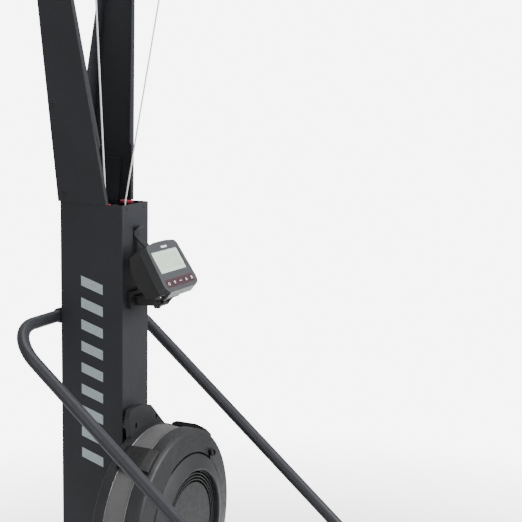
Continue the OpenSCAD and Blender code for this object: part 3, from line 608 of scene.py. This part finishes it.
def grip_profile(low, high, inner, outer):
    """The sleeve's closed profile, narrow at thirds and ribbed between two plain collars."""
    length = high - low
    collar = COLLAR_SHARE * length
    inward, along = COLLAR_BEVEL
    outline = [(inner, low), (outer - inward, low), (outer, low + along)]
    steps = GRIP_RIBS * 6
    for i in range(steps + 1):
        share = i / steps
        height = low + collar + (length - 2 * collar) * share
        waist = GRIP_WAIST * math.sin(2 * math.pi * share) ** 2
        rib = RIB_DEPTH * (0.5 - 0.5 * math.cos(2 * math.pi * GRIP_RIBS * share))
        outline.append((outer - waist - RIB_DEPTH + rib, height))
    return outline + [(outer, high - along), (outer - inward, high), (inner, high)]


for side in SIDES:
    low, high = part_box(f"grip_{side}")
    middle = (low + high) / 2
    outer = (high.x - low.x) / 2 / MM

    def on_handle(x, y, h, middle=middle):
        return Vector((middle.x + x * MM, middle.y + y * MM, h * MM))
    profile = grip_profile(low.z / MM, high.z / MM, GRIP_BORE, outer)
    grip = revolved(f"ribbed_grip_{side}", profile, on_handle, finishes["grip_rubber"], f"handle_{side}",
                    "grip_rubber")
    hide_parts(f"grip_{side}")


# ---------- Fan details ----------
SCREEN_HEMS = (51.5, 109.5)
HEM_IN, HEM_OUT, HEM_HALF = 254.5, 255.5, 0.5
COVER_RADIUS, COVER_EDGE = 256, 151
COVER_SLOPE = 8.9 / 60
DIAL_DOTS = 10
DIAL_START, DIAL_END = -11, 34
DIAL_RADIUS, NUMBER_RADIUS = 227, 239
FIRST_DOT, DOT_STEP = 3.4, 0.2
NUMBER_SIZE, NUMBER_DEPTH = 9, 0.15
CLIP_RADIUS, CLIP_TURNS = 270, (34, 146, 214, 326)
CLIP_RIB_TURNS, CLIP_RIB_HALF = (-3, -1.5, 0, 1.5, 3), 0.25
CLIP_RIB_BACK, CLIP_RIB_FRONT = 72, 108


def on_fan(x, y, h):
    return Vector((x * MM, COLUMN_FRONT - h * MM, FAN_AXIS.z + y * MM))


def cover_height(radius):
    """How far the cover's conical face stands in front of the column at this distance from its axis."""
    return COVER_EDGE + (COVER_RADIUS - radius) * COVER_SLOPE


def on_cover(x, y, h):
    return on_fan(x, y, cover_height(math.hypot(x, y)) + h)


for index, forward in enumerate(SCREEN_HEMS, 1):
    hem = rectangle(HEM_IN, forward - HEM_HALF, HEM_OUT, forward + HEM_HALF)
    revolved(f"screen_hem_{index}", hem, on_fan, HEM_METAL, "frame", "screen_metal", steps=160)


def dial_turn(index):
    return DIAL_START + (DIAL_END - DIAL_START) * index / (DIAL_DOTS - 1)


def dial_dots():
    outlines = []
    for i in range(DIAL_DOTS):
        angle = math.radians(dial_turn(i))
        radius = FIRST_DOT - DOT_STEP * i
        outlines.append(disc(DIAL_RADIUS * math.sin(angle), DIAL_RADIUS * math.cos(angle), radius))
    return outlines


make_piece("dial_dots", *prisms(dial_dots(), on_cover, -0.1, 0.15), DARK_PRINT, "frame")


def dial_number(index):
    curve = bpy.data.curves.new(f"dial_number_{index}", "FONT")
    curve.body = str(index)
    curve.size = NUMBER_SIZE * MM
    curve.align_x = "CENTER"
    curve.align_y = "CENTER"
    curve.extrude = NUMBER_DEPTH * MM
    curve.resolution_u = 4
    curve.materials.append(DARK_PRINT)
    number = bpy.data.objects.new(f"dial_number_{index}", curve)
    bpy.context.scene.collection.objects.link(number)
    turn = dial_turn(index - 1)
    upright = Matrix.Rotation(math.radians(turn), 4, "Y") @ Matrix.Rotation(math.radians(90), 4, "X")
    tilt = Matrix.Rotation(-math.atan(COVER_SLOPE), 4, "X")
    place = Matrix.Translation(fan_point(NUMBER_RADIUS, turn, cover_height(NUMBER_RADIUS)))
    number.matrix_world = place @ upright @ tilt
    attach(number, "frame")


for index in range(1, DIAL_DOTS + 1):
    dial_number(index)
for index, at in enumerate(CLIP_TURNS, 1):
    def on_clip(turn, forward, h, at=at):
        return fan_point(CLIP_RADIUS + h, at + turn, forward)
    ribs = [rectangle(turn - CLIP_RIB_HALF, CLIP_RIB_BACK, turn + CLIP_RIB_HALF, CLIP_RIB_FRONT)
            for turn in CLIP_RIB_TURNS]
    make_piece(f"clip_ribs_{index}", *prisms(ribs, on_clip, -0.3, 0.7), BLACK_PLASTIC, "frame",
               "dark_plastic")


# ---------- Monitor details ----------
BUTTON_PITCH, BUTTON_ROW, BUTTON_OUT = 29.5, -60, 1.0
BUTTON_HALF = (11.6, 7.1)
PANEL_HALF, PANEL_LOW, PANEL_HIGH = 71, -71, -48
BADGE = (-9, 36, 20, 41.5)
DISPLAY = (-54, -20, 54, 21)


def panel_outlines():
    """The red field round the buttons, in strips that leave each button's opening clear."""
    low, high = BUTTON_ROW - BUTTON_HALF[1], BUTTON_ROW + BUTTON_HALF[1]
    strips = [rectangle(-PANEL_HALF, PANEL_LOW, PANEL_HALF, low),
              rectangle(-PANEL_HALF, high, PANEL_HALF, PANEL_HIGH)]
    edges = [-PANEL_HALF]
    for i in range(-2, 3):
        edges += [i * BUTTON_PITCH - BUTTON_HALF[0], i * BUTTON_PITCH + BUTTON_HALF[0]]
    edges.append(PANEL_HALF)
    strips += [rectangle(a, low, b, high) for a, b in zip(edges[::2], edges[1::2])]
    return strips


def triangle(u, v, half, up):
    return [(u - half, v - up * half * 0.8), (u + half, v - up * half * 0.8), (u, v + up * half * 0.9)]


def ring_outlines(u, v, outer, inner, count=16):
    """A ring as short straight pieces, so that each one is a simple outline."""
    pieces = []
    for i in range(count):
        a, b = (2 * math.pi * (i + k) / count for k in (0, 1))
        pieces.append([(u + r * math.cos(t), v + r * math.sin(t))
                       for r, t in ((inner, a), (outer, a), (outer, b), (inner, b))])
    return pieces


ICONS = {
    1: ring_outlines(0, 0, 4.2, 2.8),
    2: [triangle(0, 0, 4.4, -1)],
    3: [rectangle(-4.6, -1.0, 4.6, 1.0)],
    4: [triangle(0, 0, 4.4, 1)],
    5: [rectangle(x - 1.6, y - 1.6, x + 1.6, y + 1.6) for x in (-2.2, 2.2) for y in (-2.2, 2.2)],
}

make_piece("button_panel", *prisms(panel_outlines(), monitor_point, 0, 0.2), finishes["button_red"],
           "monitor", "button_red")
make_piece("blank_badge", *prisms([rectangle(*BADGE)], monitor_point, 0, 0.25), WHITE_PRINT, "monitor")
make_piece("display_field", *prisms([rectangle(*DISPLAY)], monitor_point, -3, -2.9), LCD_FIELD,
           "monitor", "lcd")
for number, shapes in ICONS.items():
    middle = (number - 3) * BUTTON_PITCH
    moved = [[(u + middle, v + BUTTON_ROW) for u, v in shape] for shape in shapes]
    icon = prisms(moved, monitor_point, BUTTON_OUT, BUTTON_OUT + 0.12)
    make_piece(f"button_icon_{number}", *icon, WHITE_PRINT, f"button_{number}")


CHIN_TOP, CHIN_SLOPE = -80.9, 7.5 / 21.5
CHIN_STRIP = (-65, -22.8, 65, -2)


def on_chin(u, v, h):
    """A point under the monitor's sloping chin: u across, v out of the face, h downwards."""
    return monitor_point(u, CHIN_TOP + v * CHIN_SLOPE - h, v)


make_piece("chin_strip", *prisms([rectangle(*CHIN_STRIP)], on_chin, 0, 0.4), LIGHT_PLASTIC, "monitor",
           "monitor_plastic")


# ---------- Floor, light and background ----------
FLOOR_HALF = 30
FLOOR_NEAR, FLOOR_FAR = 1.0, 2.6
BACKGROUND_SEEN = 7.0
BACKGROUND_LIGHT = 0.5
PALE = (0.86, 0.86, 0.87)


def floor_finish():
    """Pale matt floor near the machine that fades into the background's tone further out."""
    f = Finish("floor")
    reach = f.add("ShaderNodeVectorMath", {0: f.place}, operation="LENGTH").outputs["Value"]
    far = f.span(reach, 0.0, 1.0, FLOOR_NEAR, FLOOR_FAR)
    seen = f.add("ShaderNodeLightPath").outputs["Is Camera Ray"]
    strength = f.span(seen, BACKGROUND_LIGHT, BACKGROUND_SEEN, 0.0, 1.0)
    f.set(Base_Color=f.mix(f.span(f.noise(3, 2), 0.0, 1.0), shade(PALE, 0.98), shade(PALE, 1.0)))
    f.shader.inputs["Roughness"].default_value = 0.85
    glow = f.add("ShaderNodeEmission", {"Color": (1, 1, 1, 1), "Strength": strength})
    blend = f.add("ShaderNodeMixShader", {0: far, 1: f.shader.outputs[0], 2: glow.outputs[0]})
    out = f.tree.nodes["Material Output"]
    f.tree.links.new(blend.outputs[0], out.inputs["Surface"])
    return f.material


def make_world():
    world = bpy.data.worlds.new("studio")
    bpy.context.scene.world = world
    world.use_nodes = True
    tree = world.node_tree
    background = tree.nodes["Background"]
    background.inputs["Color"].default_value = (1, 1, 1, 1)
    path = tree.nodes.new("ShaderNodeLightPath")
    strength = tree.nodes.new("ShaderNodeMapRange")
    strength.inputs["To Min"].default_value = BACKGROUND_LIGHT
    strength.inputs["To Max"].default_value = BACKGROUND_SEEN
    tree.links.new(path.outputs["Is Camera Ray"], strength.inputs["Value"])
    tree.links.new(strength.outputs["Result"], background.inputs["Strength"])


def softbox(name, place, aim, size, power, mirrored=True):
    data = bpy.data.lights.new(name, "AREA")
    data.shape = "RECTANGLE"
    data.size, data.size_y = size
    data.energy = power
    light = bpy.data.objects.new(name, data)
    bpy.context.scene.collection.objects.link(light)
    light.location = place
    light.visible_glossy = mirrored
    light.rotation_mode = "QUATERNION"
    light.rotation_quaternion = (Vector(aim) - Vector(place)).to_track_quat("-Z", "Y")


floor_points = [(-FLOOR_HALF, -FLOOR_HALF, 0), (FLOOR_HALF, -FLOOR_HALF, 0), (FLOOR_HALF, FLOOR_HALF, 0),
                (-FLOOR_HALF, FLOOR_HALF, 0)]
floor = make_piece("floor", floor_points, [[0, 1, 2, 3]], floor_finish(), None)
make_world()
softbox("front_light", (0.6, -3.4, 2.6), (0, 0.3, 1.0), (2.4, 2.4), 260)
softbox("top_light", (0.2, 0.2, 4.4), (0, 0.2, 1.0), (3.0, 3.0), 115)
softbox("left_fill", (-3.6, 0.6, 1.8), (0, 0.3, 1.0), (2.0, 2.6), 32)
softbox("right_rim", (3.0, 1.6, 2.4), (0, 0.3, 1.0), (1.2, 2.4), 120, mirrored=False)
